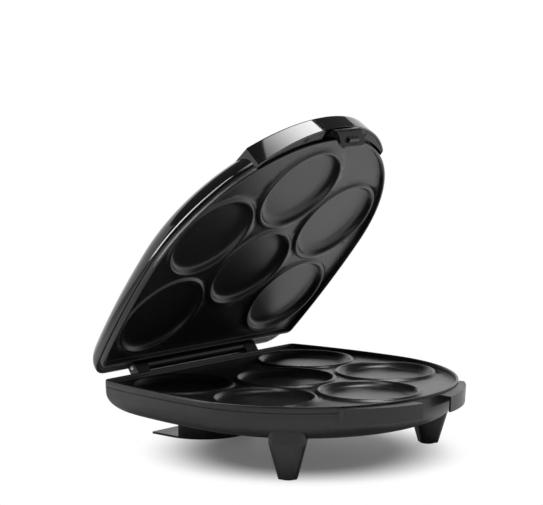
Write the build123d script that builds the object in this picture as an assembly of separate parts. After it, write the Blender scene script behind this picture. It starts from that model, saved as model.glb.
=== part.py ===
from build123d import *
import math
import os

# Arepa maker. The model is drawn in millimetres with the lid shut: x runs along the hinge,
# +y goes to the hinge at the back, and z = 0 is the plane where the two plates meet. The
# middle pocket is at x = 0, y = 0. At the end every piece is moved so that the origin lies
# on the table under the middle of the object, and the lid is turned open.

# Body outline, seen from above
front_radius = 141.8
front_centre_y = -19.3
side_radius = 600.0
back_edge_y = 104.0
back_corner_radius = 6.0
smallest_corner = 3.0

# Pockets
pocket_pitch = 97.7
pocket_mouth_radius = 44.0
pocket_floor_radius = 41.2
pocket_depth = 6.0
pocket_floor_rounding = 2.6
rim_width = 1.9
rim_flare = 2.4
rim_drop = 2.3

# Cooking plates
closed_gap = 0.5
plate_thickness = 3.0
plate_face_drop = 4.6
plate_band_height = 6.2
plate_lip_width = 3.2
plate_skirt_gap = 0.7
post_radius = 5.0
post_length = 19.8
stud_radius = 2.0
stud_length = 4.2
thread_depth = 6.5

# Shells
wall = 2.4
shell_gap = 0.35
base_depth = 27.1
base_reach = 36.0
base_roundness = 2.8
base_rim_inset = 0.0
base_corner_growth = 0.7
lid_height = 33.1
lid_reach = 90.0
lid_roundness = 2.5
lid_rim_inset = -0.5
lid_corner_growth = 0.4
hood_reach = 16.5
hood_corner_radius = 20.0
shell_rings = 9
corner_share = 0.8

# Crescents at the front: the handle on the lid and its match on the base
crescent_radius = 117.3
crescent_reach = 14.4
crescent_gap = 4.1
crescent_half_width = 85.0
crescent_wall = 2.0
handle_height = 16.4
handle_draft = 1.6
handle_top_slope = 0.14
handle_edge_rounding = 1.6
handle_corner_rounding = 5.0
base_crescent_height = 14.0
base_crescent_draft = 0.8
notch_half_width = 19.5
ledge_reach = 1.8
ledge_height = 8.2

# Matte inner half of the handle, and its screws
handle_base_thickness = 2.4
handle_base_recess = 0.4
handle_slot_width = 2.4
handle_screw_x = 40.0
handle_boss_radius = 3.4
handle_screw_depth = 8.0
cheek_thickness = 2.0
cheek_back = 5.0
bridge_thickness = 1.6

# Latch
latch_half_width = 16.5
latch_setback = 7.9
latch_pivot_z = 9.8
latch_barrel_radius = 3.3
latch_pin_radius = 1.5
latch_reach = 27.6
latch_corner = 5.0
latch_slot_half_width = 20.0
latch_bulge = 9.3
latch_shoulder_z = 1.55
latch_bulge_z = -2.8
latch_bulge_rounding = 1.6
latch_flat = 3.0
latch_thickness = 5.6
latch_foot_lean = 0.9
latch_foot_width = 1.9
nose_half_width = 6.5
nose_face = 2.0
nose_height = 5.0
nose_length = 9.0
nose_engagement = 1.3
nose_clearance = 0.5
latch_swing = 12.0

# Hinge
hinge_setback = 10.54
hinge_z = 2.7
hinge_pin_radius = 2.5
knuckle_radius = 4.8
barrel_half_length = 65.9
ear_thickness = 16.0
ear_gap = 0.4
ear_anchor_radius = 3.0
ear_anchor_insets = [(1.5, -10.8), (3.0, -20.8)]
cradle_top_z = -2.4
cradle_clearance = 0.5
ear_cover_clearance = 1.2
lid_open_angle = 51.17

# Legs, stand and pads
ground_height = 67.6
leg_inset = 21.47
leg_angle = 35.22
leg_top_width = 32.0
leg_foot_width = 16.4
leg_top_height = 34.8
leg_root_height = 15.5
leg_top_rounding = 6.0
leg_foot_rounding = 4.0
pad_radius = 6.0
front_pad_depth = 3.0
pad_proud = 1.2
pad_rounding = 0.5
rear_pad_x = 32.0
rear_pad_setback = 9.0
stand_half_width = 44.0
stand_centre_inset = 3.0
stand_back_reach = 22.0
stand_wall_inset = 10.5
stand_floor = 2.0
stand_wall = 2.5
stand_screw_x = 20.0
stand_screw_inset = 28.0
stand_screw_seat = -43.8
stand_boss_top = -23.3

# Heaters
heater_radius = 3.3
heater_ring_inset = 57.8
heater_bend = 12.0
heater_end_x = 14.0
heater_end_inset = 20.0
clip_angles = (0, 180, 225, 315)
clip_width = 9.0
clip_length = 16.0
clip_wall = 1.0

# Heat shields
shield_thickness = 0.8
shield_inset = 20.0
shield_wall_height = 6.0
shield_slot_width = 44.0
shield_slot_inset = 40.0

# Screws
screw_radius = 2.0
screw_head_radius = 4.0
screw_head_height = 2.4
small_screw_radius = 1.25
small_head_radius = 2.3
small_head_height = 1.3
boss_radius = 6.0
base_screw_seat = 5.0
lid_boss_back = 45.0
lid_boss_front = -70.0
lid_boss_depth = 8.0
retainer_radius = 6.0
retainer_thickness = 1.0

# Electrical pieces
thermostat_radius = 12.0
thermostat_height = 7.6
blade_thickness = 0.8
blade_reach = 7.0
blade_half_width = 3.1
fuse_radius = 2.2
fuse_length = 15.0
fuse_y = 30.0
block_length = 34.0
block_width = 16.0
block_height = 9.0
block_y = 43.0
well_radius = 2.6
wire_hole_radius = 1.6
cord_boss_radius = 8.5
cord_boss_inner_inset = 15.4
cord_boss_proud = 0.6
gland_x = 94.0
gland_z = -20.3
gland_radius = 5.0
gland_bore_radius = 3.4
gland_flange_radius = 7.2
gland_flange_thickness = 3.0
gland_nut_thickness = 3.0
lamp_spacing = 26.0
lamp_setback = 49.1
lens_depth = 5.5
lens_pad_radius = 8.0
lens_radius = 4.0
lens_flange_radius = 5.6
lens_flange_thickness = 1.2
lens_proud = 1.4
lamp_radius = 2.7
lamp_length = 6.8
holder_thickness = 2.0
holder_width = 15.0

# Clearances
running_fit = 0.05
hole_clearance = 0.25
seat_clearance = 0.3

# Sizes that follow from the ones above
half_gap = closed_gap / 2
plate_body_inset = base_rim_inset + wall + plate_skirt_gap
pocket_underside = rim_drop + pocket_depth + plate_thickness
shell_rim_z = half_gap + plate_band_height + shell_gap
base_floor_z = -(shell_rim_z + base_depth)
lid_top_z = shell_rim_z + lid_height
hood_edge_y = back_edge_y + hood_reach
hood_floor_y = back_edge_y - plate_body_inset + plate_skirt_gap
handle_front_y = front_centre_y - front_radius - crescent_reach
crescent_centre_y = handle_front_y + crescent_radius
handle_bottom_z = crescent_gap / 2
handle_top_z = handle_bottom_z + handle_height
post_end = half_gap + post_length
heater_z = half_gap + pocket_underside + heater_radius + running_fit
heater_ring = front_radius - heater_ring_inset
heater_end_y = back_edge_y - heater_end_inset
shield_slot_y = back_edge_y - shield_slot_inset
latch_pivot_y = handle_front_y + latch_setback
hinge_y = back_edge_y + hinge_setback
ear_anchors = [(back_edge_y - inset, z, ear_anchor_radius) for inset, z in ear_anchor_insets]
ear_inner = barrel_half_length + ear_gap
ear_outer = ear_inner + ear_thickness
base_front_y = crescent_centre_y - math.sqrt(crescent_radius**2 - notch_half_width**2)
leg_x = (front_radius - leg_inset) * math.cos(math.radians(leg_angle))
leg_y = front_centre_y - (front_radius - leg_inset) * math.sin(math.radians(leg_angle))
rear_pad_y = back_edge_y + rear_pad_setback
stand_centre_y = back_edge_y - stand_centre_inset
stand_back_y = back_edge_y + stand_back_reach
stand_wall_y = back_edge_y - stand_wall_inset
stand_screw_y = back_edge_y - stand_screw_inset
cord_boss_inner_y = back_edge_y - cord_boss_inner_inset
cord_boss_outer_y = back_edge_y + cord_boss_proud
lamp_y = front_centre_y - front_radius + lamp_setback
screw_hole_radius = screw_radius + hole_clearance
gap_x = pocket_pitch / (2 * math.sqrt(3))
gap_y = pocket_pitch / 2
post_places = [(x, y) for x in (-gap_x, gap_x) for y in (-gap_y, gap_y)]
lid_boss_places = [(-2 * gap_x, 0), (2 * gap_x, 0), (0, lid_boss_back), (0, lid_boss_front)]
lamp_places = (-lamp_spacing / 2, lamp_spacing / 2)
handle_base_low = handle_bottom_z + handle_base_recess
handle_base_top = handle_base_low + handle_base_thickness
handle_screw_seat = handle_base_low + small_head_height
pocket_row_x = pocket_pitch * math.sqrt(3) / 2
pocket_places = [(0, 0), (0, -pocket_pitch)]
pocket_places += [(x, y) for x in (-pocket_row_x, pocket_row_x) for y in (-gap_y, gap_y)]


def outline(inset, z, corner=None, back_edge=back_edge_y):
    """Flat face of the body outline, drawn in by inset, at the height z.

    Its back corners are concentric with those of the plates, unless their radius is given.
    """
    front = front_radius - inset
    side = side_radius - inset
    back = back_edge - inset
    if corner is None:
        corner = max(back_corner_radius - inset, smallest_corner)
    corner = min(corner, corner_share * (back - front_centre_y))
    side_x = front_radius - side_radius
    corner_y = back - corner
    corner_x = side_x + math.sqrt((side - corner) ** 2 - (corner_y - front_centre_y) ** 2)
    turn = math.degrees(math.atan2(corner_y - front_centre_y, corner_x - side_x))
    edges = [
        CenterArc((0, front_centre_y), front, -90, 90),
        CenterArc((side_x, front_centre_y), side, 0, turn),
        CenterArc((corner_x, corner_y), corner, turn, 90 - turn),
        Line((corner_x, back), (-corner_x, back)),
        CenterArc((-corner_x, corner_y), corner, 90, 90 - turn),
        CenterArc((-side_x, front_centre_y), side, 180 - turn, turn),
        CenterArc((0, front_centre_y), front, 180, 90),
    ]
    return Pos(0, 0, z) * make_face(edges)


def slab(inset, low, high):
    """The body outline, drawn in by inset, between two heights."""
    return extrude(outline(inset, low), high - low)


def disc(radius, low, high, x=0.0, y=0.0):
    """Upright cylinder between two heights."""
    return Pos(x, y, (low + high) / 2) * Cylinder(radius, high - low)


def block(x_low, x_high, y_low, y_high, z_low, z_high):
    """Box given by its limits."""
    middle = ((x_low + x_high) / 2, (y_low + y_high) / 2, (z_low + z_high) / 2)
    return Pos(*middle) * Box(x_high - x_low, y_high - y_low, z_high - z_low)


def rod_along_x(radius, low, high, y, z):
    """Cylinder along x between two x values."""
    return Pos((low + high) / 2, y, z) * Rot(0, 90, 0) * Cylinder(radius, high - low)


def cross_rod(radius, half_length, y, z):
    """Cylinder along x, centred on x = 0."""
    return rod_along_x(radius, -half_length, half_length, y, z)


def side_profile(points, x_low, x_high):
    """Solid between two x values whose side view is a polygon of (y, z) points."""
    face = make_face(Polyline(*[(0, y, z) for y, z in points], close=True))
    return Pos(x_low, 0, 0) * extrude(face, x_high - x_low, dir=(1, 0, 0))


def shell_curve(rim_inset, reach, height, roundness):
    """Side view of a shell wall as (inset, rise) pairs from its rim to its flat middle."""
    pairs = []
    for ring in range(shell_rings + 1):
        angle = math.radians(90 * ring / shell_rings)
        inset = rim_inset + reach * (1 - math.cos(angle))
        pairs.append((inset, height * math.sin(angle) ** (2 / roundness)))
    return pairs


def dome_height_at(x, y):
    """Height of the dome's outer face over a point in the front half of the plan."""
    inset = front_radius - math.hypot(x, y - front_centre_y)
    angle = math.acos(1 - (inset - lid_rim_inset) / lid_reach)
    return shell_rim_z + lid_height * math.sin(angle) ** (2 / lid_roundness)


def lid_back_reach():
    """Rear-most y of the open lid, over the rings of the hood's back wall."""
    turn = math.radians(lid_open_angle)
    reach = []
    for inset, rise in shell_curve(lid_rim_inset, lid_reach, lid_height, lid_roundness):
        behind = hood_edge_y - inset - hinge_y
        above = shell_rim_z + rise - hinge_z
        reach.append(hinge_y + behind * math.cos(turn) + above * math.sin(turn))
    return max(reach)


def shell_solid(curve, rim_z, direction, back_edge, rim_corner, growth, start=0.0):
    """Solid through outlines along a shell curve, from a rim height up or down.

    Its back corners grow rounder from the rim towards the middle.
    """
    first_inset = curve[0][0]
    first_corner = max(rim_corner - first_inset, smallest_corner)
    faces = [
        outline(inset, rim_z + direction * rise, first_corner + growth * (inset - first_inset), back_edge)
        for inset, rise in curve
    ]
    solid = loft(faces)
    if start:
        solid = solid + extrude(faces[0], start, dir=(0, 0, -direction))
    return solid


def lid_solid(offset=0.0):
    """Outer form of the lid, or the hollow inside it when offset is the wall thickness."""
    curve = shell_curve(lid_rim_inset + offset, lid_reach - offset, lid_height - offset, lid_roundness)
    return shell_solid(
        curve, shell_rim_z, 1, hood_edge_y, hood_corner_radius, lid_corner_growth, start=offset,
    )


def base_solid(offset=0.0):
    """Outer form of the base, or the hollow inside it when offset is the wall thickness."""
    curve = shell_curve(base_rim_inset + offset, base_reach - offset, base_depth - offset, base_roundness)
    return shell_solid(
        curve, -shell_rim_z, -1, back_edge_y, back_corner_radius, base_corner_growth,
        start=max(offset, 0.0),
    )


def crescent(low, high, radius_low, radius_high, half_width):
    """Front part of a cone round the crescent's centre, cut to a width."""
    cone = Pos(0, crescent_centre_y, (low + high) / 2) * Cone(radius_low, radius_high, high - low)
    reach = crescent_radius + 1
    keep = block(-half_width, half_width, crescent_centre_y - reach, crescent_centre_y, low, high)
    return cone & keep


def screw(x, y, seat, tip, radius, head_radius, head_height):
    """Pan-head screw along z: its head lies beyond the seat, and its shank ends at the tip."""
    away = -1 if tip > seat else 1
    far = seat + away * head_height
    head = disc(head_radius, min(seat, far), max(seat, far), x, y)
    rim = head.edges().group_by(Axis.Z)[0 if away < 0 else -1]
    head = fillet(rim, head_height * 0.4)
    slot_depth = head_height * 0.35
    slot_end = far - away * slot_depth
    slot = block(
        x - head_radius * 0.62, x + head_radius * 0.62, y - head_radius * 0.12, y + head_radius * 0.12,
        min(far, slot_end), max(far, slot_end),
    )
    cross = Pos(x, y, 0) * Rot(0, 0, 90) * Pos(-x, -y, 0) * slot
    return head + disc(radius, min(seat, tip), max(seat, tip), x, y) - slot - cross


def cooking_plate(studs):
    """Cast plate with its lip at z = 0 and its pockets opening upwards."""
    low = -pocket_underside
    plate = slab(0, -plate_band_height, 0) + slab(plate_body_inset, low, -plate_band_height)
    plate -= slab(plate_lip_width, -plate_face_drop, 1)
    underside = -(plate_face_drop + plate_thickness)
    hollow = slab(plate_body_inset + plate_thickness, low, underside)
    for x, y in pocket_places:
        hollow -= disc(pocket_mouth_radius + plate_thickness, low, underside, x, y)
    plate -= hollow
    top = pocket_mouth_radius + rim_width
    rim_side = (plate_face_drop - rim_drop)
    rim = Cone(top + rim_flare, top, rim_side)
    rim = fillet(rim.edges().group_by(Axis.Z)[-1], rim_width / 3)
    mouth = Cone(pocket_floor_radius, pocket_mouth_radius, pocket_depth)
    mouth = fillet(mouth.edges().group_by(Axis.Z)[0], pocket_floor_rounding)
    for x, y in pocket_places:
        plate += Pos(x, y, -rim_drop - rim_side / 2) * rim & slab(plate_lip_width / 2, low, 0)
    for x, y in pocket_places:
        plate -= Pos(x, y, -rim_drop - pocket_depth / 2) * mouth
        plate -= disc(pocket_mouth_radius, -rim_drop, 1, x, y)
    for x, y in post_places:
        plate += disc(post_radius, -post_length, underside, x, y)
        if studs:
            plate += disc(stud_radius, -post_length - stud_length, -post_length, x, y)
        else:
            thread = screw_radius + running_fit
            plate -= disc(thread, -post_length, -post_length + thread_depth, x, y)
    return plate


def upturned(shape):
    """The same piece for the lid: a mirror image about the plane where the plates meet."""
    solids = [mirror(solid, Plane.XY) for solid in shape.solids()]
    return Compound(children=solids)


def make_lower_plate():
    return Pos(0, 0, -half_gap) * cooking_plate(studs=False)


def make_upper_plate():
    return upturned(Pos(0, 0, -half_gap) * cooking_plate(studs=True))


def make_heater():
    """Bent tubular heater under the lower plate: one ring, with both ends turned to the back."""
    bend_x = heater_end_x + heater_bend
    reach = heater_ring + heater_bend
    bend_y = front_centre_y + math.sqrt(reach**2 - bend_x**2)
    meet = math.degrees(math.acos(bend_x / reach))
    path = Wire([
        Line((heater_end_x, heater_end_y), (heater_end_x, bend_y)),
        CenterArc((bend_x, bend_y), heater_bend, 180, meet),
        CenterArc((0, front_centre_y), heater_ring, meet, -180 - 2 * meet),
        CenterArc((-bend_x, bend_y), heater_bend, -meet, meet),
        Line((-heater_end_x, bend_y), (-heater_end_x, heater_end_y)),
    ])
    section = Plane((heater_end_x, heater_end_y, 0), z_dir=(0, -1, 0)) * Circle(heater_radius)
    return Pos(0, 0, -heater_z) * sweep(section, path)


def make_heater_clips():
    """Saddle clips that hold the heater up against the plate."""
    top = -(half_gap + pocket_underside)
    tube = heater_radius + running_fit
    low = -heater_z - tube - clip_wall
    room = disc(heater_ring + tube, -heater_z, top) - disc(heater_ring - tube, -heater_z, top)
    room += Pos(0, 0, -heater_z) * Torus(heater_ring, tube)
    saddle = block(
        heater_ring - clip_length / 2, heater_ring + clip_length / 2,
        -clip_width / 2, clip_width / 2, low, top,
    )
    saddle -= room
    clips = [Pos(0, front_centre_y, 0) * Rot(0, 0, angle) * saddle for angle in clip_angles]
    return Compound(children=clips)


def make_shield(bosses):
    """Tin tray between a heater and the plastic shell, open to the plate."""
    floor_high = -post_end
    floor_low = floor_high - shield_thickness
    tray = slab(shield_inset, floor_low, floor_high + shield_wall_height)
    tray -= slab(shield_inset + shield_thickness, floor_high, floor_high + shield_wall_height + 1)
    for x, y in bosses:
        tray -= disc(screw_hole_radius, floor_low - 1, floor_high + 1, x, y)
    half = shield_slot_width / 2
    return tray - block(-half, half, shield_slot_y, back_edge_y, floor_low - 1, 0)


def stand_outline(inset, back):
    """Face of the rear stand's plan: straight sides, a round front and a straight back."""
    half = stand_half_width - inset
    edges = [
        Line((half, back), (-half, back)),
        Line((-half, back), (-half, stand_centre_y)),
        CenterArc((0, stand_centre_y), half, 180, 180),
        Line((half, stand_centre_y), (half, back)),
    ]
    return make_face(edges)


def stand_solid(inset, low, high, back):
    """The stand's plan between two heights, cut straight at the back."""
    column = Pos(0, 0, low) * extrude(stand_outline(inset, stand_back_y), high - low)
    return column - block(-stand_half_width, stand_half_width, back, stand_back_y + 1, low - 1, high + 1)


def make_rear_stand():
    """Hollow pedestal under the back of the base, on a flat flange that keeps the wound cord up."""
    low = -ground_height + pad_proud
    floor = low + stand_floor
    top = -shell_rim_z
    stand = stand_solid(0, floor, top, stand_wall_y)
    stand -= stand_solid(stand_wall, floor, top, stand_wall_y - stand_wall)
    stand += extrude(Pos(0, 0, low) * stand_outline(0, stand_back_y), stand_floor)
    for x in (-stand_screw_x, stand_screw_x):
        stand += disc(boss_radius, floor, top, x, stand_screw_y)
    stand -= base_solid(-seat_clearance)
    for x in (-stand_screw_x, stand_screw_x):
        stand -= disc(screw_head_radius + hole_clearance, low, stand_screw_seat, x, stand_screw_y)
        stand -= disc(screw_hole_radius, low, top, x, stand_screw_y)
    return stand


def make_foot_pads():
    """Four rubber pads: two set into the legs, two under the back of the stand's flange."""
    low = -ground_height
    front = disc(pad_radius, low, low + front_pad_depth)
    rear = disc(pad_radius, low, low + pad_proud)
    front = fillet(front.edges().group_by(Axis.Z)[0], pad_rounding)
    rear = fillet(rear.edges().group_by(Axis.Z)[0], pad_rounding)
    pads = [Pos(x, leg_y, 0) * front for x in (-leg_x, leg_x)]
    pads += [Pos(x, rear_pad_y, 0) * rear for x in (-rear_pad_x, rear_pad_x)]
    return Compound(children=pads)


def leg(side):
    """Tapered leg that stands square to the rim, on one side of the middle."""
    turn = math.degrees(math.atan2(leg_y - front_centre_y, side * leg_x))
    low = -ground_height + pad_proud
    foot = Pos(0, 0, low) * RectangleRounded(leg_foot_width, leg_foot_width, leg_foot_rounding)
    head = Pos(0, 0, -leg_top_height) * RectangleRounded(leg_top_width, leg_top_width, leg_top_rounding)
    place = Pos(side * leg_x, leg_y, 0) * Rot(0, 0, turn)
    taper = place * loft([foot.face(), head.face()])
    root = place * extrude(head, leg_root_height)
    hole = disc(pad_radius + running_fit, low, -ground_height + front_pad_depth, side * leg_x, leg_y)
    return taper - hole + root


def hinge_plate(anchors, low_x, high_x):
    """Plate from the hinge's knuckle to rounded anchor points (y, z, radius) on a shell."""
    circles = [Pos(hinge_y, hinge_z) * Circle(knuckle_radius)]
    circles += [Pos(y, z) * Circle(radius) for y, z, radius in anchors]
    side_view = make_hull([circle.edge() for circle in circles])
    flat = Plane((low_x, 0, 0), x_dir=(0, 1, 0), z_dir=(1, 0, 0))
    return extrude(flat * side_view, high_x - low_x)


def base_crescent():
    """The base's match for the handle: a free-hanging wall, a top strip and the latch's ledge."""
    top = -crescent_gap / 2
    low = top - base_crescent_height
    ledge_low = top - ledge_height
    outer_low = crescent_radius - base_crescent_draft
    solid = crescent(low, top, outer_low, crescent_radius, crescent_half_width)
    hollow = crescent(
        low, top - crescent_wall, outer_low - crescent_wall, crescent_radius - crescent_wall,
        crescent_half_width - crescent_wall,
    )
    body = slab(-ledge_reach, ledge_low, top) + base_solid()
    notch = block(-notch_half_width, notch_half_width, handle_front_y, crescent_centre_y, low, top)
    return solid - (hollow - body) - (notch - body)


def hinge_cradle():
    """Trough between the ears, under the lid's barrel."""
    cradle = hinge_plate(ear_anchors, -ear_inner, ear_inner)
    cradle -= cross_rod(knuckle_radius + cradle_clearance, ear_inner, hinge_y, hinge_z)
    far_y = hinge_y + 2 * knuckle_radius
    return cradle - block(-ear_inner, ear_inner, 0, far_y, cradle_top_z, hinge_z + 2 * knuckle_radius)


def make_base_shell():
    """Lower housing: bowl, legs, front crescent, hinge ears and cradle, screw bosses and cord boss."""
    shell = base_solid() + leg(-1) + leg(1) + base_crescent()
    for side in (-1, 1):
        inner, outer = sorted((side * ear_inner, side * ear_outer))
        shell += hinge_plate(ear_anchors, inner, outer)
    shell += hinge_cradle()
    shell -= base_solid(wall)
    shell += cord_boss()
    shell -= slab(-shell_gap, -shell_rim_z, 0)
    boss_top = -(post_end + shield_thickness)
    boss_low = base_floor_z + wall / 2
    for x, y in post_places:
        shell += disc(boss_radius, boss_low, boss_top, x, y)
        shell -= disc(screw_head_radius + hole_clearance, base_floor_z, base_floor_z + base_screw_seat, x, y)
        shell -= disc(screw_hole_radius, base_floor_z, boss_top, x, y)
    for x in (-stand_screw_x, stand_screw_x):
        shell += disc(boss_radius, boss_low, stand_boss_top, x, stand_screw_y) & base_solid()
        thread = screw_radius + running_fit
        shell -= disc(thread, base_floor_z, stand_boss_top - wall, x, stand_screw_y)
    hole = gland_radius + running_fit
    shell -= rod_along_y(hole, cord_boss_inner_y - 1, cord_boss_outer_y + 1, gland_x, gland_z)
    pin_hole = cross_rod(hinge_pin_radius + running_fit, ear_outer, hinge_y, hinge_z)
    return shell - pin_hole


def rod_along_y(radius, low, high, x, z):
    """Cylinder along y between two y values."""
    return Pos(x, (low + high) / 2, z) * Rot(90, 0, 0) * Cylinder(radius, high - low)


def cord_boss():
    """Flat-faced round boss in the back wall, which the cord gland is clamped to."""
    return rod_along_y(cord_boss_radius, cord_boss_inner_y, cord_boss_outer_y, gland_x, gland_z)


def make_cord_gland():
    """Bushing that the mains cord enters by: outer flange, threaded neck and bore."""
    flange_end = cord_boss_outer_y + gland_flange_thickness
    neck_end = cord_boss_inner_y - gland_nut_thickness - 1
    gland = rod_along_y(gland_flange_radius, cord_boss_outer_y, flange_end, gland_x, gland_z)
    gland = fillet(gland.edges().group_by(Axis.Y)[-1], gland_flange_thickness / 3)
    gland += rod_along_y(gland_radius, neck_end, cord_boss_outer_y, gland_x, gland_z)
    return gland - rod_along_y(gland_bore_radius, neck_end, flange_end, gland_x, gland_z)


def make_gland_nut():
    """Hexagonal nut that clamps the gland from inside."""
    flat = Plane((gland_x, cord_boss_inner_y, gland_z), x_dir=(1, 0, 0), z_dir=(0, -1, 0))
    nut = extrude(flat * RegularPolygon(gland_flange_radius, 6), gland_nut_thickness)
    hole = gland_radius + running_fit
    far = cord_boss_inner_y - gland_nut_thickness
    return nut - rod_along_y(hole, far, cord_boss_inner_y, gland_x, gland_z)


def make_thermostat():
    """Disc thermostat clamped under the middle pocket, with its two blade terminals."""
    top = -(half_gap + pocket_underside)
    low = top - thermostat_height
    can = disc(thermostat_radius, top - thermostat_height * 0.45, top)
    body = disc(thermostat_radius * 0.72, low, top)
    blade_z = low + blade_thickness
    blades = block(
        -thermostat_radius - blade_reach, thermostat_radius + blade_reach,
        -blade_half_width, blade_half_width, blade_z, blade_z + blade_thickness,
    )
    return can + body + blades


def make_thermal_fuse():
    """Thermal cut-off in its clamp, under the same pocket."""
    top = -(half_gap + pocket_underside)
    middle = top - fuse_radius - clip_wall
    barrel = cross_rod(fuse_radius, fuse_length / 2, fuse_y, middle)
    leads = cross_rod(fuse_radius / 4, fuse_length, fuse_y, middle)
    half = fuse_radius + clip_wall
    clamp = block(-half, half, fuse_y - half, fuse_y + half, middle - half, top)
    return clamp + barrel + leads


def make_terminal_block():
    """Mains terminal block on the floor of the base, with three screw wells."""
    floor = base_floor_z + wall
    top = floor + block_height
    half_x, half_y = block_length / 2, block_width / 2
    body = block(-half_x, half_x, block_y - half_y, block_y + half_y, floor, top)
    pitch = block_length / 3
    for x in (-pitch, 0, pitch):
        body -= disc(well_radius, top - block_height / 2, top, x, block_y)
        body -= rod_along_y(wire_hole_radius, block_y - half_y, block_y + half_y, x, floor + block_height / 3)
    return body


def make_base_screws():
    """Screws that go up through the base and the tray into the lower plate."""
    seat = base_floor_z + base_screw_seat
    tip = -post_end + thread_depth - 1
    screws = [
        screw(x, y, seat, tip, screw_radius, screw_head_radius, screw_head_height)
        for x, y in post_places
    ]
    return Compound(children=screws)


def make_stand_screws():
    """Screws that go up through the stand into the base."""
    tip = stand_boss_top - wall - 1
    screws = [
        screw(x, stand_screw_y, stand_screw_seat, tip, screw_radius, screw_head_radius, screw_head_height)
        for x in (-stand_screw_x, stand_screw_x)
    ]
    return Compound(children=screws)


def make_hinge_pin():
    """Steel rod through both ears and the lid's barrel."""
    pin = cross_rod(hinge_pin_radius, ear_outer, hinge_y, hinge_z)
    return chamfer(pin.edges().filter_by(GeomType.CIRCLE), hinge_pin_radius / 5)


def handle_solid(inset):
    """Outer form of the handle, or the hollow inside it when inset is its wall."""
    high = handle_top_z + handle_top_slope * crescent_radius
    foot = crescent_radius - inset
    lean = handle_draft * (high - handle_bottom_z) / handle_height
    solid = crescent(handle_bottom_z, high, foot, foot - lean, crescent_half_width - inset)
    slope = math.degrees(math.atan(handle_top_slope))
    top = Pos(0, handle_front_y, handle_top_z - inset) * Rot(slope, 0, 0)
    reach = 2 * crescent_radius
    return solid - top * block(-reach, reach, -reach, reach, 0, reach)


def rounded_handle():
    """Handle form with its upright corners and its top edge rounded."""
    handle = handle_solid(0)
    ends = handle.faces().filter_by(Axis.X)
    corners = [face.edges().sort_by(Axis.Y)[0] for face in ends]
    handle = fillet(corners, handle_corner_rounding)
    top = handle.faces().sort_by(Axis.Z)[-1]
    back = top.edges().sort_by(Axis.Y)[-1]
    return fillet([edge for edge in top.edges() if edge != back], handle_edge_rounding)


def handle_strip_y(x):
    """Middle of the strip between the handle's wall and the plate, at the distance x."""
    wall_y = crescent_centre_y - math.sqrt((crescent_radius - crescent_wall) ** 2 - x**2)
    plate_y = front_centre_y - math.sqrt((front_radius + handle_slot_width) ** 2 - x**2)
    return (wall_y + plate_y) / 2


def make_lid_shell():
    """Upper housing: dome with its hood behind the plate, crescent handle, hinge barrel and bosses."""
    dome = lid_solid()
    handle = rounded_handle() - slab(lid_rim_inset, handle_bottom_z, shell_rim_z)
    shell = dome + handle - (handle_solid(crescent_wall) - dome)
    hood_floor = block(
        -front_radius, front_radius, hood_floor_y, hood_edge_y,
        shell_rim_z - 2 * wall, shell_rim_z + wall,
    )
    shell -= lid_solid(wall) - hood_floor
    shell += cross_rod(knuckle_radius, barrel_half_length, hinge_y, hinge_z)
    for side in (-1, 1):
        inner, outer = sorted((side * (ear_inner - ear_gap), side * (ear_outer + ear_gap)))
        cover = knuckle_radius + ear_cover_clearance
        shell += rod_along_x(cover + wall, inner - wall, outer + wall, hinge_y, hinge_z) & dome
        shell -= rod_along_x(cover, inner, outer, hinge_y, hinge_z)
    boss_low = post_end + shield_thickness
    for x, y in lid_boss_places:
        shell += disc(boss_radius, boss_low, lid_top_z, x, y) & dome
        shell -= disc(screw_radius + running_fit, boss_low, boss_low + lid_boss_depth, x, y)
    for x in (-handle_screw_x, handle_screw_x):
        y = handle_strip_y(x)
        boss = disc(handle_boss_radius, handle_base_top, lid_top_z, x, y) & handle_solid(0)
        shell += boss
        hole = small_screw_radius + running_fit
        shell -= disc(hole, handle_base_top, handle_base_top + handle_screw_depth, x, y)
    for x in lamp_places:
        shell += disc(lens_pad_radius, lens_seat_z, lid_top_z, x, lamp_y) & dome
        shell -= disc(lens_radius + hole_clearance, lens_seat_z, lid_top_z, x, lamp_y)
    holder_top = lens_seat_z - lens_flange_thickness
    shell += disc(handle_boss_radius, holder_top, lid_top_z, 0, lamp_y) & dome
    shell -= disc(small_screw_radius + running_fit, holder_top, lens_seat_z + 1, 0, lamp_y)
    return shell - cross_rod(hinge_pin_radius + running_fit, barrel_half_length, hinge_y, hinge_z)


def make_handle_base():
    """Matte inner half of the handle: the underside, with the latch's cheeks and bridge."""
    front, middle = handle_front_y, crescent_centre_y
    half, slot = crescent_half_width, latch_slot_half_width
    base = block(-half, half, front, middle, handle_base_low, handle_base_top)
    base -= slab(-handle_slot_width, handle_base_low, handle_base_top)
    base -= block(-slot, slot, front, middle, handle_base_low, handle_base_top)
    cheek_outer = slot + cheek_thickness
    back = latch_pivot_y + cheek_back
    bridge_low = latch_pivot_z + latch_barrel_radius + seat_clearance
    bridge_top = bridge_low + bridge_thickness
    base += block(-cheek_outer, cheek_outer, front, back, handle_base_low, bridge_top)
    base -= block(-slot, slot, front, back, handle_base_low, bridge_low)
    base &= handle_solid(crescent_wall + seat_clearance)
    base -= cross_rod(latch_pin_radius + running_fit, cheek_outer, latch_pivot_y, latch_pivot_z)
    for x in (-handle_screw_x, handle_screw_x):
        y = handle_strip_y(x)
        base -= disc(small_screw_radius + hole_clearance, handle_base_low, handle_base_top, x, y)
        base -= disc(small_head_radius + hole_clearance, handle_base_low, handle_screw_seat, x, y)
    return base


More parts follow.
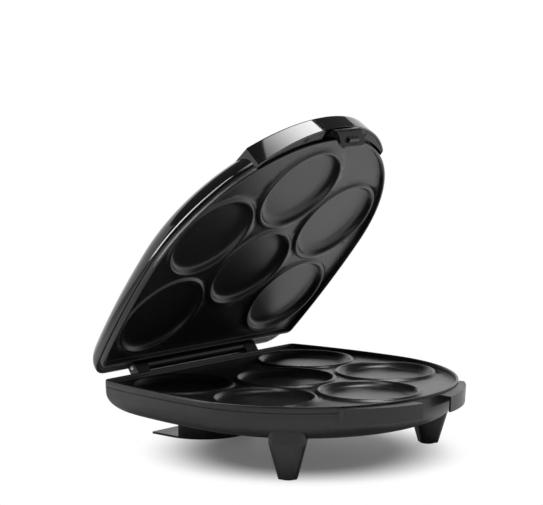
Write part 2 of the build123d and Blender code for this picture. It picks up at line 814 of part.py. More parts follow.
def make_latch():
    """Latch as it hangs when let go: a wide lever, with a nose that hooks under the ledge."""
    pivot_y, pivot_z = latch_pivot_y, latch_pivot_z
    front = pivot_y - latch_barrel_radius
    bulge = pivot_y - latch_bulge
    foot_y, foot_z = pivot_y - latch_foot_lean, pivot_z - latch_reach
    lever = [
        (front, pivot_z),
        (front, latch_shoulder_z),
        (bulge + latch_bulge_rounding, latch_shoulder_z - latch_bulge_rounding),
        (bulge, latch_bulge_z),
        (bulge, latch_bulge_z - latch_flat),
        (foot_y - latch_foot_width, foot_z),
        (foot_y, foot_z),
        (bulge + latch_thickness, latch_bulge_z - latch_flat),
        (pivot_y + latch_barrel_radius, handle_bottom_z),
        (pivot_y + latch_barrel_radius, pivot_z),
    ]
    body = side_profile(lever, -latch_half_width, latch_half_width)
    body += cross_rod(latch_barrel_radius, latch_half_width, pivot_y, pivot_z)
    front_view = Plane((0, pivot_y, pivot_z), x_dir=(1, 0, 0), z_dir=(0, -1, 0))
    frame = front_view * RectangleRounded(2 * latch_half_width, 2 * latch_reach, latch_corner)
    body &= extrude(frame, latch_reach, both=True)
    body += latch_nose()
    return body - cross_rod(latch_pin_radius + running_fit, latch_half_width, pivot_y, pivot_z)


def latch_nose():
    """Nose drawn hooked under the ledge, then swung out with the lever."""
    top = -crescent_gap / 2 - ledge_height - nose_clearance
    tip = front_centre_y - front_radius - ledge_reach + nose_engagement
    root = tip - nose_length
    foot = top - nose_height
    points = [(root, top), (tip, top), (tip, top - nose_face), (root + nose_length / 3, foot), (root, foot)]
    nose = side_profile(points, -nose_half_width, nose_half_width)
    return nose.rotate(Axis((0, latch_pivot_y, latch_pivot_z), (1, 0, 0)), -latch_swing)


def make_latch_pin():
    return cross_rod(latch_pin_radius, latch_slot_half_width + cheek_thickness, latch_pivot_y, latch_pivot_z)


def make_handle_screws():
    screws = [
        screw(
            x, handle_strip_y(x), handle_screw_seat, handle_base_top + handle_screw_depth - 1,
            small_screw_radius, small_head_radius, small_head_height,
        )
        for x in (-handle_screw_x, handle_screw_x)
    ]
    return Compound(children=screws)


def make_lid_screws():
    """Screws that hold the upper tray to the dome."""
    tip = post_end + shield_thickness + lid_boss_depth - 1
    screws = [
        screw(x, y, post_end, tip, screw_radius, screw_head_radius, screw_head_height)
        for x, y in lid_boss_places
    ]
    return Compound(children=screws)


def make_plate_retainers():
    """Push-on washers that grip the upper plate's studs behind the tray."""
    low = post_end + shield_thickness
    washer = disc(retainer_radius, low, low + retainer_thickness)
    washer -= disc(stud_radius + running_fit, low, low + retainer_thickness)
    return Compound(children=[Pos(x, y, 0) * washer for x, y in post_places])


def make_lens(x):
    """Clear lens with its flange behind the dome and a soft crown outside."""
    crown = dome_height_at(x, lamp_y) + lens_proud
    lens = disc(lens_radius, lens_seat_z, crown, x, lamp_y)
    lens = fillet(lens.edges().group_by(Axis.Z)[-1], lens_proud * 0.7)
    return lens + disc(lens_flange_radius, lens_seat_z - lens_flange_thickness, lens_seat_z, x, lamp_y)


def make_lamp_holder():
    """Plate with two sockets that holds the lamps up behind their lenses."""
    top = lens_seat_z - lens_flange_thickness
    low = top - holder_thickness
    half = lamp_spacing / 2 + lens_pad_radius
    holder = block(-half, half, lamp_y - holder_width / 2, lamp_y + holder_width / 2, low, top)
    for x in lamp_places:
        holder += disc(lens_radius, top - lamp_length, top, x, lamp_y)
        holder -= disc(lamp_radius + running_fit, top - lamp_length, top, x, lamp_y)
    return holder - disc(small_screw_radius + hole_clearance, low, top, 0, lamp_y)


def make_lamp(x):
    """Small indicator lamp in its socket."""
    top = lens_seat_z - lens_flange_thickness
    lamp = disc(lamp_radius, top - lamp_length, top - running_fit, x, lamp_y)
    return fillet(lamp.edges().group_by(Axis.Z)[-1], lamp_radius * 0.7)


def make_lamp_screw():
    top = lens_seat_z - lens_flange_thickness
    return screw(
        0, lamp_y, top - holder_thickness, lens_seat_z,
        small_screw_radius, small_head_radius, small_head_height,
    )


lens_seat_z = dome_height_at(lamp_spacing / 2, lamp_y) - lens_depth
middle_y = (base_front_y + max(stand_back_y, lid_back_reach())) / 2


def on_table(shape):
    """Move a piece so that the origin is on the table, under the middle of the object."""
    return Pos(0, -middle_y, ground_height) * shape


def with_lid_open(shape):
    """Turn a lid piece about the hinge to the angle that the lid stands at."""
    return shape.rotate(Axis((0, hinge_y, hinge_z), (-1, 0, 0)), lid_open_angle)


base_nodes = {
    "base_shell": make_base_shell,
    "rear_stand": make_rear_stand,
    "foot_pads": make_foot_pads,
    "lower_plate": make_lower_plate,
    "lower_heater": make_heater,
    "lower_heater_clips": make_heater_clips,
    "lower_heat_shield": lambda: make_shield(post_places),
    "thermostat": make_thermostat,
    "thermal_fuse": make_thermal_fuse,
    "terminal_block": make_terminal_block,
    "cord_gland": make_cord_gland,
    "cord_gland_nut": make_gland_nut,
    "hinge_pin": make_hinge_pin,
    "base_screws": make_base_screws,
    "stand_screws": make_stand_screws,
}
lid_nodes = {
    "lid_shell": make_lid_shell,
    "upper_plate": make_upper_plate,
    "upper_heater": lambda: upturned(make_heater()),
    "upper_heater_clips": lambda: upturned(make_heater_clips()),
    "upper_heat_shield": lambda: upturned(make_shield(post_places + lid_boss_places)),
    "upper_plate_retainers": make_plate_retainers,
    "lid_screws": make_lid_screws,
    "handle_base": make_handle_base,
    "handle_screws": make_handle_screws,
    "latch_pin": make_latch_pin,
    "latch": make_latch,
    "power_lens": lambda: make_lens(lamp_places[0]),
    "ready_lens": lambda: make_lens(lamp_places[1]),
    "power_lamp": lambda: make_lamp(lamp_places[0]),
    "ready_lamp": lambda: make_lamp(lamp_places[1]),
    "lamp_holder": make_lamp_holder,
    "lamp_screw": make_lamp_screw,
}

os.makedirs("parts", exist_ok=True)
for name, make in base_nodes.items():
    export_step(on_table(make()), f"parts/{name}.step")
for name, make in lid_nodes.items():
    export_step(on_table(with_lid_open(make())), f"parts/{name}.step")
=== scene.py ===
import math

import bpy
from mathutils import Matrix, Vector
from mathutils.geometry import delaunay_2d_cdt


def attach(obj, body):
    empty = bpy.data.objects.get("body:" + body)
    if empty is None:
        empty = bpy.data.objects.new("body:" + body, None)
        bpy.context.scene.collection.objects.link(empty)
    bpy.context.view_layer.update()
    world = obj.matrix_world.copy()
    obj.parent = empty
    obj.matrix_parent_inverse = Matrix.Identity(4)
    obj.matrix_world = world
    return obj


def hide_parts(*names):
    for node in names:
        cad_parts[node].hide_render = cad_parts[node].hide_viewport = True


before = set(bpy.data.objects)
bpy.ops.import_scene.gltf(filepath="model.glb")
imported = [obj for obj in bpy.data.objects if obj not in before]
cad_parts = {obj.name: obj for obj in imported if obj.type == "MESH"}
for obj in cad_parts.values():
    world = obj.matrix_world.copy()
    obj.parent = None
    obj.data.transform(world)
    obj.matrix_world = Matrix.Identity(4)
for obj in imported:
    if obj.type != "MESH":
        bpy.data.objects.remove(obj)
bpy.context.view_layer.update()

# Sizes in millimetres, with the lid shut and the middle pocket at x = 0, y = 0
MM = 0.001
FRONT_RADIUS = 141.8
FRONT_CENTRE_Y = -19.3
SIDE_RADIUS = 600.0
BACK_EDGE_Y = 104.0
BACK_CORNER = 6.0
HOOD_EDGE_Y = 120.5
HOOD_CORNER = 20.0
HOOD_FLOOR_Y = 101.6
SMALLEST_CORNER = 3.0
CORNER_GROWTH = 0.4
CORNER_SHARE = 0.8
PLATE_BODY_INSET = 3.1
POCKET_PITCH = 97.7
HALF_GAP = 0.25
WALL = 2.4
SHELL_RIM_Z = 6.8
LID_HEIGHT = 33.1
LID_REACH = 90.0
LID_ROUNDNESS = 2.5
LID_RIM_INSET = -0.5
CRESCENT_RADIUS = 117.3
CRESCENT_CENTRE_Y = -58.2
CRESCENT_HALF_WIDTH = 85.0
HANDLE_WALL = 2.0
HANDLE_BOTTOM_Z = 2.05
HANDLE_TOP_Z = 18.45
HANDLE_TOP_SLOPE = 0.14
HANDLE_DRAFT = 1.6
HANDLE_CORNER = 5.0
HANDLE_BACK_Y = -100.0
HANDLE_ROUNDING = 1.6
HANDLE_LIP = 0.4
HINGE_Y = 114.54
HINGE_Z = 2.7
KNUCKLE_RADIUS = 4.8
BARREL_HALF_LENGTH = 65.9
EAR_OUTER = 82.3
EAR_GAP = 0.4
EAR_COVER_RADIUS = 6.0
OPEN_ANGLE = math.radians(51.17)
GROUND = 67.6
# Middle of the whole object front to back, over which the row frame's origin stands
MIDDLE_Y = -22.278
# Lower ends of the plates' skirt and of the band round them
SKIRT_Z = -10.8
BAND_Z = -6.2
BAND_EASE = 0.2
# Middles of the pockets
COLUMN_X = POCKET_PITCH * math.sqrt(3) / 2
POCKETS = [(0.0, 0.0), (0.0, -POCKET_PITCH)]
POCKETS += [(x, y) for x in (-COLUMN_X, COLUMN_X) for y in (-POCKET_PITCH / 2, POCKET_PITCH / 2)]

# Steps along the body outline: its front quarters, sides, corners and back edge
FRONT_STEPS = 36
SIDE_STEPS = 12
CORNER_STEPS = 12
BACK_STEPS = 20


def on_table(point):
    """A point of the base, in the row frame, in metres."""
    x, y, z = point
    return Vector((x, y - MIDDLE_Y, z + GROUND)) * MM


def on_lid(point):
    """A point of the shut lid, turned open, in the row frame, in metres."""
    x, y, z = point
    dy, dz = y - HINGE_Y, z - HINGE_Z
    turned_y = dy * math.cos(OPEN_ANGLE) + dz * math.sin(OPEN_ANGLE)
    turned_z = -dy * math.sin(OPEN_ANGLE) + dz * math.cos(OPEN_ANGLE)
    return on_table((x, HINGE_Y + turned_y, HINGE_Z + turned_z))


def arc_points(centre, radius, start, turn, steps):
    """Points along an arc, without its last point. Angles are in degrees."""
    points = []
    for step in range(steps):
        angle = math.radians(start + turn * step / steps)
        points.append((centre[0] + radius * math.cos(angle), centre[1] + radius * math.sin(angle)))
    return points


def line_points(start, end, steps):
    """Points along a line, without its last point."""
    return [
        (start[0] + (end[0] - start[0]) * step / steps, start[1] + (end[1] - start[1]) * step / steps)
        for step in range(steps)
    ]


def outline_points(inset, corner=None, back_edge=BACK_EDGE_Y, detail=1):
    """Points round the body outline, drawn in by inset, from the front middle and back to it."""
    front = FRONT_RADIUS - inset
    side = SIDE_RADIUS - inset
    back = back_edge - inset
    if corner is None:
        corner = max(BACK_CORNER - inset, SMALLEST_CORNER)
    corner = min(corner, CORNER_SHARE * (back - FRONT_CENTRE_Y))
    side_x = FRONT_RADIUS - SIDE_RADIUS
    corner_y = back - corner
    corner_x = side_x + math.sqrt((side - corner) ** 2 - (corner_y - FRONT_CENTRE_Y) ** 2)
    turn = math.degrees(math.atan2(corner_y - FRONT_CENTRE_Y, corner_x - side_x))
    points = arc_points((0, FRONT_CENTRE_Y), front, -90, 90, FRONT_STEPS * detail)
    points += arc_points((side_x, FRONT_CENTRE_Y), side, 0, turn, SIDE_STEPS * detail)
    points += arc_points((corner_x, corner_y), corner, turn, 90 - turn, CORNER_STEPS * detail)
    points += line_points((corner_x, back), (-corner_x, back), BACK_STEPS * detail)
    points += arc_points((-corner_x, corner_y), corner, 90, 90 - turn, CORNER_STEPS * detail)
    points += arc_points((-side_x, FRONT_CENTRE_Y), side, 180 - turn, turn, SIDE_STEPS * detail)
    points += arc_points((0, FRONT_CENTRE_Y), front, 180, 90, FRONT_STEPS * detail)
    return points


def add_mesh(name, points, faces):
    """A mesh object from points in metres, linked to the scene."""
    mesh = bpy.data.meshes.new(name)
    mesh.from_pydata(points, [], faces)
    made = bpy.data.objects.new(name, mesh)
    bpy.context.scene.collection.objects.link(made)
    return made


def make_mesh(name, vertices, faces, place, body, smooth_angle):
    """A mesh piece from plan-frame points, riding on a body. The angle is in degrees."""
    piece = add_mesh(name, [place(vertex) for vertex in vertices], faces)
    mesh = piece.data
    mesh.validate()
    mesh.polygons.foreach_set("use_smooth", [True] * len(mesh.polygons))
    mesh.set_sharp_from_angle(angle=math.radians(smooth_angle))
    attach(piece, body)
    return piece


def ring_faces(count, lower, upper):
    """Quads between two closed rings of count points that start at the given vertex numbers."""
    faces = []
    for step in range(count):
        after = (step + 1) % count
        faces.append((lower + step, lower + after, upper + after, upper + step))
    return faces


def end_caps(start, end, count):
    """Faces that close a stack of rings of count points, between two vertex numbers."""
    return [tuple(range(start, start + count))[::-1], tuple(range(end - count, end))]


def stacked_rings(rings):
    """Vertices and faces of a stack of rings with equal counts, closed at both ends."""
    vertices, faces = [], []
    count = len(rings[0])
    for number, ring in enumerate(rings):
        vertices += ring
        if number:
            faces += ring_faces(count, (number - 1) * count, number * count)
    faces += end_caps(0, len(vertices), count)
    return vertices, faces


def hood_outline(inset):
    """Points round the lid's outline, which reaches back past the plate."""
    corner = HOOD_CORNER - LID_RIM_INSET + CORNER_GROWTH * (inset - LID_RIM_INSET)
    return outline_points(inset, corner, HOOD_EDGE_Y)


def shell_ring(inset, z):
    """A ring of the lid's outline at one height."""
    return [(x, y, z) for x, y in hood_outline(inset)]


def shrunk(ring, share, z):
    """A ring drawn towards its middle."""
    middle_y = (min(point[1] for point in ring) + max(point[1] for point in ring)) / 2
    return [(x * share, middle_y + (y - middle_y) * share, z) for x, y, _ in ring]


# Steps over the dome's curve, outside and inside, and the shares of its last ring that fill the top
OUTER_STEPS = 30
INNER_STEPS = 12
TOP_SHARES = (0.8, 0.6, 0.4, 0.2, 0.05)


def dome_rings(offset, steps, rim):
    """Rings of the dome from its rim to its middle, for a surface that lies in by offset."""
    rings = list(rim)
    reach, height = LID_REACH - offset, LID_HEIGHT - offset
    for step in range(1, steps + 1):
        angle = math.radians(90 * step / steps)
        inset = LID_RIM_INSET + offset + reach * (1 - math.cos(angle))
        rise = height * math.sin(angle) ** (2 / LID_ROUNDNESS)
        rings.append(shell_ring(inset, SHELL_RIM_Z + rise))
    last = rings[-1]
    for share in TOP_SHARES:
        rings.append(shrunk(last, share, last[0][2]))
    return rings


def make_dome():
    """The gloss dome of the lid, with its rim and its inner face."""
    rim_rounding = 0.5
    # How far the middle ring of the rounding stands in from the rim's two faces
    eased = 0.3 * rim_rounding
    outer_rim = [
        shell_ring(LID_RIM_INSET + rim_rounding, SHELL_RIM_Z),
        shell_ring(LID_RIM_INSET + eased, SHELL_RIM_Z + eased),
        shell_ring(LID_RIM_INSET, SHELL_RIM_Z + rim_rounding),
    ]
    outer = dome_rings(0.0, OUTER_STEPS, outer_rim)
    inner = dome_rings(WALL, INNER_STEPS, [shell_ring(LID_RIM_INSET + WALL, SHELL_RIM_Z)])
    rings = inner[::-1] + outer
    vertices, faces = stacked_rings(rings)
    return make_mesh("lid_dome", vertices, faces, on_lid, "lid", smooth_angle=40)


# Steps along the handle's plan, and over its rounded top edge
HANDLE_SIDE_STEPS = 24
HANDLE_CORNER_STEPS = 8
HANDLE_FRONT_STEPS = 72
HANDLE_BACK_STEPS = 16
HANDLE_EDGE_STEPS = 6
# Where the handle's walls end inside the lid: just above the rim, and deeper in above the pockets
HIDDEN_Z = SHELL_RIM_Z + 0.8
DEEP_Z = 14.0
DEEP_INSET = 12.0


def handle_path(offset):
    """Closed path round the handle's plan, drawn in by offset, from the left back corner."""
    radius = CRESCENT_RADIUS - offset
    half = CRESCENT_HALF_WIDTH - offset
    corner = HANDLE_CORNER - offset
    back = HANDLE_BACK_Y - offset
    corner_x = half - corner
    corner_y = CRESCENT_CENTRE_Y - math.sqrt((radius - corner) ** 2 - corner_x**2)
    turn = math.degrees(math.atan2(corner_y - CRESCENT_CENTRE_Y, corner_x))
    points = line_points((-half, back), (-half, corner_y), HANDLE_SIDE_STEPS)
    points += arc_points((-corner_x, corner_y), corner, 180, -turn, HANDLE_CORNER_STEPS)
    points += arc_points(
        (0, CRESCENT_CENTRE_Y), radius, 180 - turn, 180 + 2 * turn, HANDLE_FRONT_STEPS,
    )
    points += arc_points((corner_x, corner_y), corner, turn, -turn, HANDLE_CORNER_STEPS)
    points += line_points((half, corner_y), (half, back), HANDLE_SIDE_STEPS)
    points += line_points((half, back), (-half, back), HANDLE_BACK_STEPS)
    return points


def inside_outline(point, inset):
    """Whether a plan point in the front half lies inside the body outline drawn in by inset."""
    return math.hypot(point[0], point[1] - FRONT_CENTRE_Y) < FRONT_RADIUS - inset


def make_handle():
    """The gloss crescent handle: wall, rounded top edge and sloped top, hollow from below."""

    def top_z(point):
        return HANDLE_TOP_Z + HANDLE_TOP_SLOPE * (point[1] + CRESCENT_RADIUS - CRESCENT_CENTRE_Y)

    def bottom_ring(offset, rise):
        ring = []
        for point in handle_path(offset):
            height = HANDLE_BOTTOM_Z
            if inside_outline(point, LID_RIM_INSET):
                height = HIDDEN_Z
            if inside_outline(point, DEEP_INSET):
                height = DEEP_Z
            ring.append((*point, height + rise))
        return ring

    def top_ring(offset, drop):
        return [(*point, top_z(point) - drop) for point in handle_path(offset)]

    rings = [top_ring(HANDLE_DRAFT + HANDLE_WALL, HANDLE_WALL), bottom_ring(HANDLE_WALL, HANDLE_LIP)]
    rings += [bottom_ring(HANDLE_WALL - HANDLE_LIP, 0), bottom_ring(HANDLE_LIP, 0)]
    rings.append(bottom_ring(0, HANDLE_LIP))
    for step in range(HANDLE_EDGE_STEPS + 1):
        angle = math.radians(90 * step / HANDLE_EDGE_STEPS)
        side = HANDLE_ROUNDING * (1 - math.cos(angle))
        rings.append(top_ring(HANDLE_DRAFT + side, HANDLE_ROUNDING * (1 - math.sin(angle))))
    vertices, faces = stacked_rings(rings)
    return make_mesh("lid_handle", vertices, faces, on_lid, "lid", smooth_angle=35)


def prism(section, low_x, high_x, start):
    """Vertices and faces of a side-view section (y, z) drawn along x, numbered from start."""
    count = len(section)
    vertices = [(x, y, z) for x in (low_x, high_x) for y, z in section]
    faces = ring_faces(count, start, start + count)
    faces += end_caps(start, start + 2 * count, count)
    return vertices, faces


HOOD_FLOOR_INSET = 1.0
ARCH_STEPS = 12
# Start and turn of the arch's upper side, in degrees
ARCH_START = 40
ARCH_TURN = 100


def make_hood_floor():
    """Floor of the hood behind the plate, arched over the hinge ears."""
    high = SHELL_RIM_Z + WALL
    back = HOOD_EDGE_Y - HOOD_FLOOR_INSET
    plain = [(HOOD_FLOOR_Y, SHELL_RIM_Z), (back, SHELL_RIM_Z), (back, high), (HOOD_FLOOR_Y, high)]
    start = math.degrees(math.asin((SHELL_RIM_Z - HINGE_Z) / EAR_COVER_RADIUS))
    hinge = (HINGE_Y, HINGE_Z)
    under = arc_points(hinge, EAR_COVER_RADIUS, 180 - start, 2 * start - 180, ARCH_STEPS)
    over = arc_points(hinge, EAR_COVER_RADIUS + WALL, ARCH_START, ARCH_TURN, ARCH_STEPS)
    arched = [(HOOD_FLOOR_Y, SHELL_RIM_Z), *under, (back, SHELL_RIM_Z), (back, high), *over]
    arched.append((HOOD_FLOOR_Y, high))
    ear_start = BARREL_HALF_LENGTH
    ear_end = EAR_OUTER + EAR_GAP
    spans = [
        (plain, -ear_start, ear_start), (arched, ear_start, ear_end), (arched, -ear_end, -ear_start),
    ]
    vertices, faces = [], []
    for section, low_x, high_x in spans:
        more_vertices, more_faces = prism(section, low_x, high_x, len(vertices))
        vertices += more_vertices
        faces += more_faces
    edge = [point for point in hood_outline(HOOD_FLOOR_INSET) if point[1] > HOOD_FLOOR_Y]
    for side in (-1, 1):
        part = [point for point in edge if point[0] * side > ear_end]
        edge_x = max(abs(x) for x, _ in part)
        corner = (side * edge_x, HOOD_FLOOR_Y)
        inner = [(side * ear_end, back), (side * ear_end, HOOD_FLOOR_Y)]
        if side > 0:
            loop = [corner, *part, *inner]
        else:
            loop = [*inner[::-1], *part, corner]
        number = len(vertices)
        vertices += [(x, y, z) for z in (SHELL_RIM_Z, high) for x, y in loop]
        count = len(loop)
        faces += ring_faces(count, number, number + count)
        faces += end_caps(number, number + 2 * count, count)
    return make_mesh("lid_hood_floor", vertices, faces, on_lid, "lid", smooth_angle=30)


def make_barrel():
    """Hinge barrel with eased ends."""
    ease = 0.4
    circle_steps = 64
    rings = []
    for x, inset in (
        (-BARREL_HALF_LENGTH, ease), (-BARREL_HALF_LENGTH + ease, 0),
        (BARREL_HALF_LENGTH - ease, 0), (BARREL_HALF_LENGTH, ease),
    ):
        circle = arc_points((HINGE_Y, HINGE_Z), KNUCKLE_RADIUS - inset, 0, 360, circle_steps)
        rings.append([(x, y, z) for y, z in circle])
    vertices, faces = stacked_rings(rings)
    return make_mesh("lid_barrel", vertices, faces, on_lid, "lid", smooth_angle=30)


# Profile of one pocket as (distance from its middle, height) pairs, floor to outer foot
POCKET_PROFILE = [
    (0.0, -8.3), (12.0, -8.3), (24.0, -8.3), (33.0, -8.3), (35.4, -8.24), (37.2, -8.0),
    (38.8, -7.5), (40.0, -6.85), (40.9, -6.1), (41.6, -5.3), (42.2, -4.4), (42.7, -3.6),
    (43.15, -3.0), (43.6, -2.62), (44.1, -2.4), (44.7, -2.32), (45.3, -2.35), (45.8, -2.5),
    (46.3, -2.8), (46.8, -3.25), (47.3, -3.75), (47.8, -4.15), (48.3, -4.45), (48.8, -4.6),
]
# Profile of the lip as (distance inside the body outline, height) pairs
LIP_PROFILE = [
    (0.0, -1.0), (0.12, -0.6), (0.4, -0.25), (0.9, -0.04), (1.4, 0.0), (1.9, -0.06), (2.25, -0.3),
    (2.45, -0.75), (2.6, -1.5), (2.72, -2.5), (2.85, -3.5), (3.0, -4.2), (3.15, -4.5), (3.35, -4.6),
]


def outline_inset(point):
    """How far a plan point lies inside the body outline."""
    x, y = abs(point[0]), point[1]
    if y <= FRONT_CENTRE_Y:
        return FRONT_RADIUS - math.hypot(x, y - FRONT_CENTRE_Y)
    side_x = FRONT_RADIUS - SIDE_RADIUS
    side = SIDE_RADIUS - math.hypot(x - side_x, y - FRONT_CENTRE_Y)
    back = BACK_EDGE_Y - y
    if side >= BACK_CORNER or back >= BACK_CORNER:
        return min(side, back)
    return BACK_CORNER - math.hypot(BACK_CORNER - side, BACK_CORNER - back)


POCKET_STEPS = 144
PLATE_DETAIL = 3
# Spacing of the points on the flat, how far they keep from its edges, and how near two are one
FLAT_SPACING = 6.0
FLAT_MARGIN = 1.5
NEARNESS = 0.001
# Share of a pocket's outer radius within which a triangle's middle lies over the pocket
POCKET_SHARE = 0.999
# Output type of the triangulation that keeps the triangles inside the given edges
INSIDE_ONLY = 1


def plate_flat():
    """Flat of the cooking face, between the lip's inner ring and the pockets' outer rings.

    Returns its plan points, its triangles, and the point numbers of each ring.
    """
    lip_end = LIP_PROFILE[-1][0]
    pocket_end = POCKET_PROFILE[-1][0]
    points = outline_points(lip_end, detail=PLATE_DETAIL)
    rings = [list(range(len(points)))]
    for spot in POCKETS:
        start = len(points)
        points += arc_points(spot, pocket_end, 0, 360, POCKET_STEPS)
        rings.append(list(range(start, start + POCKET_STEPS)))
    edges = [(ring[step - 1], ring[step]) for ring in rings for step in range(len(ring))]
    reach = int(SIDE_RADIUS / FLAT_SPACING / 2)
    for column in range(-reach, reach + 1):
        for row in range(-reach, reach + 1):
            point = (column * FLAT_SPACING, row * FLAT_SPACING)
            near = min(math.dist(point, spot) for spot in POCKETS)
            if outline_inset(point) > lip_end + FLAT_MARGIN and near > pocket_end + FLAT_MARGIN:
                points.append(point)
    result = delaunay_2d_cdt(
        [Vector(point) for point in points], edges, [], INSIDE_ONLY, NEARNESS,
    )
    new_points, _, new_faces, origins = result[:4]
    number_of = {}
    for number, origin in enumerate(origins):
        for source in origin:
            number_of[source] = number
    triangles = []
    for face in new_faces:
        middle = [sum(new_points[corner][axis] for corner in face) / len(face) for axis in (0, 1)]
        if min(math.dist(middle, spot) for spot in POCKETS) > pocket_end * POCKET_SHARE:
            triangles.append(tuple(face))
    new_rings = [[number_of[step] for step in ring] for ring in rings]
    return [tuple(point) for point in new_points], triangles, new_rings


def make_plate(name, place, body, sign):
    """A cast, coated plate: cooking face with lip and pockets, band round it, and skirt."""
    flat_points, triangles, rings = plate_flat()
    vertices = [(x, y, LIP_PROFILE[-1][1]) for x, y in flat_points]
    faces = list(triangles)
    border = LIP_PROFILE[-2::-1]
    border += [(0.0, BAND_Z + BAND_EASE), (BAND_EASE, BAND_Z)]
    border += [(PLATE_BODY_INSET, BAND_Z), (PLATE_BODY_INSET, SKIRT_Z)]
    ring = rings[0]
    count = len(ring)
    for inset, z in border:
        start = len(vertices)
        vertices += [(x, y, z) for x, y in outline_points(inset, detail=PLATE_DETAIL)]
        faces += [
            (ring[step - 1], start + (step - 1) % count, start + step, ring[step])
            for step in range(count)
        ]
        ring = list(range(start, start + count))
    faces.append(tuple(ring)[::-1])
    for spot, outer in zip(POCKETS, rings[1:]):
        ring = outer
        for radius, z in POCKET_PROFILE[-2:0:-1]:
            start = len(vertices)
            vertices += [(x, y, z) for x, y in arc_points(spot, radius, 0, 360, POCKET_STEPS)]
            faces += [
                (ring[step - 1], ring[step], start + step, start + (step - 1) % POCKET_STEPS)
                for step in range(POCKET_STEPS)
            ]
            ring = list(range(start, start + POCKET_STEPS))
        vertices.append((*spot, POCKET_PROFILE[0][1]))
        faces += [(ring[step - 1], ring[step], len(vertices) - 1) for step in range(POCKET_STEPS)]
    vertices = [(x, y, sign * (z - HALF_GAP)) for x, y, z in vertices]
    if sign < 0:
        faces = [face[::-1] for face in faces]
    return make_mesh(name, vertices, faces, place, body, smooth_angle=50)


def material(name, color, roughness, **sockets):
    """A node material with its shader ready, and the shader node."""
    made = bpy.data.materials.new(name)
    made.use_nodes = True
    shader = made.node_tree.nodes["Principled BSDF"]
    shader.inputs["Base Color"].default_value = (*color, 1.0)
    shader.inputs["Roughness"].default_value = roughness
    for socket, value in sockets.items():
        shader.inputs[socket.replace("_", " ")].default_value = value
    return made, shader


# Parts of a noise's range that a swing uses, for numbers and for colours
NOISE_RANGE = (0.3, 0.7)
COLOR_RANGE = (0.35, 0.65)
NOISE_ROUGHNESS = 0.6
# Scale and detail of each noise. The grain's scale differs from surface to surface.
CLOUD_SCALE = 18.0
CLOUD_DETAIL = 4.0
MOTTLE_SCALE = 260.0
MOTTLE_DETAIL = 3.0
GRAIN_DETAIL = 2.0


def add_noise(made, scale, detail):
    """A noise in the object's own coordinates."""
    nodes, links = made.node_tree.nodes, made.node_tree.links
    coordinates = nodes.new("ShaderNodeTexCoord")
    noise = nodes.new("ShaderNodeTexNoise")
    noise.inputs["Scale"].default_value = scale
    noise.inputs["Detail"].default_value = detail
    noise.inputs["Roughness"].default_value = NOISE_ROUGHNESS
    links.new(coordinates.outputs["Object"], noise.inputs["Vector"])
    return noise


def vary(made, shader, socket, noise, low, high):
    """Lets a noise swing a shader's number between two values."""
    nodes, links = made.node_tree.nodes, made.node_tree.links
    spread = nodes.new("ShaderNodeMapRange")
    spread.inputs["From Min"].default_value = NOISE_RANGE[0]
    spread.inputs["From Max"].default_value = NOISE_RANGE[1]
    spread.inputs["To Min"].default_value = low
    spread.inputs["To Max"].default_value = high
    links.new(noise.outputs["Fac"], spread.inputs["Value"])
    links.new(spread.outputs["Result"], shader.inputs[socket])


def tint(made, shader, noise, dark, light):
    """Lets a noise swing a shader's colour between two colours."""
    nodes, links = made.node_tree.nodes, made.node_tree.links
    ramp = nodes.new("ShaderNodeValToRGB")
    ramp.color_ramp.elements[0].position = COLOR_RANGE[0]
    ramp.color_ramp.elements[0].color = (*dark, 1)
    ramp.color_ramp.elements[1].position = COLOR_RANGE[1]
    ramp.color_ramp.elements[1].color = (*light, 1)
    links.new(noise.outputs["Fac"], ramp.inputs["Fac"])
    links.new(ramp.outputs["Color"], shader.inputs["Base Color"])


def bump(made, shader, noise, distance):
    """Lets a noise raise the surface by a distance in metres."""
    nodes, links = made.node_tree.nodes, made.node_tree.links
    node = nodes.new("ShaderNodeBump")
    node.inputs["Distance"].default_value = distance
    node.inputs["Strength"].default_value = 1.0
    links.new(noise.outputs["Fac"], node.inputs["Height"])
    links.new(node.outputs["Normal"], shader.inputs["Normal"])


def textured(name, color, roughness, spread, grain_scale, grain_depth, light=1.35, **sockets):
    """A surface with uneven roughness, slight mottling and fine grain."""
    made, shader = material(name, color, roughness, **sockets)
    cloud = add_noise(made, CLOUD_SCALE, CLOUD_DETAIL)
    vary(made, shader, "Roughness", cloud, roughness - spread, roughness + spread)
    mottle = add_noise(made, MOTTLE_SCALE, MOTTLE_DETAIL)
    tint(made, shader, mottle, color, tuple(min(value * light, 1.0) for value in color))
    grain = add_noise(made, grain_scale, GRAIN_DETAIL)
    bump(made, shader, grain, grain_depth)
    return made


# Surfaces: colour, roughness and its spread, then the grain's scale and its depth in metres
coating = textured("black_coating", (0.010, 0.010, 0.0105), 0.30, 0.03, 1500.0, 0.000004)
base_plastic = textured("satin_plastic", (0.014, 0.014, 0.0147), 0.36, 0.05, 2200.0, 0.00004)
inner_plastic = textured("matte_plastic", (0.03, 0.03, 0.031), 0.55, 0.05, 2200.0, 0.00004)
gloss = textured("gloss_plastic", (0.004, 0.004, 0.0043), 0.06, 0.015, 900.0, 0.0000006, IOR=1.6)
latch_gloss = textured("latch_plastic", (0.006, 0.006, 0.0063), 0.22, 0.04, 1200.0, 0.000004)
rubber = textured("pad_rubber", (0.02, 0.02, 0.02), 0.75, 0.05, 1600.0, 0.00006)
steel = textured("pin_steel", (0.45, 0.45, 0.45), 0.3, 0.08, 1800.0, 0.00001, Metallic=1.0)
zinc = textured("screw_zinc", (0.42, 0.42, 0.41), 0.36, 0.1, 1500.0, 0.00001, Metallic=1.0)
black_screw = textured("black_screw", (0.03, 0.03, 0.03), 0.4, 0.08, 1500.0, 0.00001, Metallic=1.0)
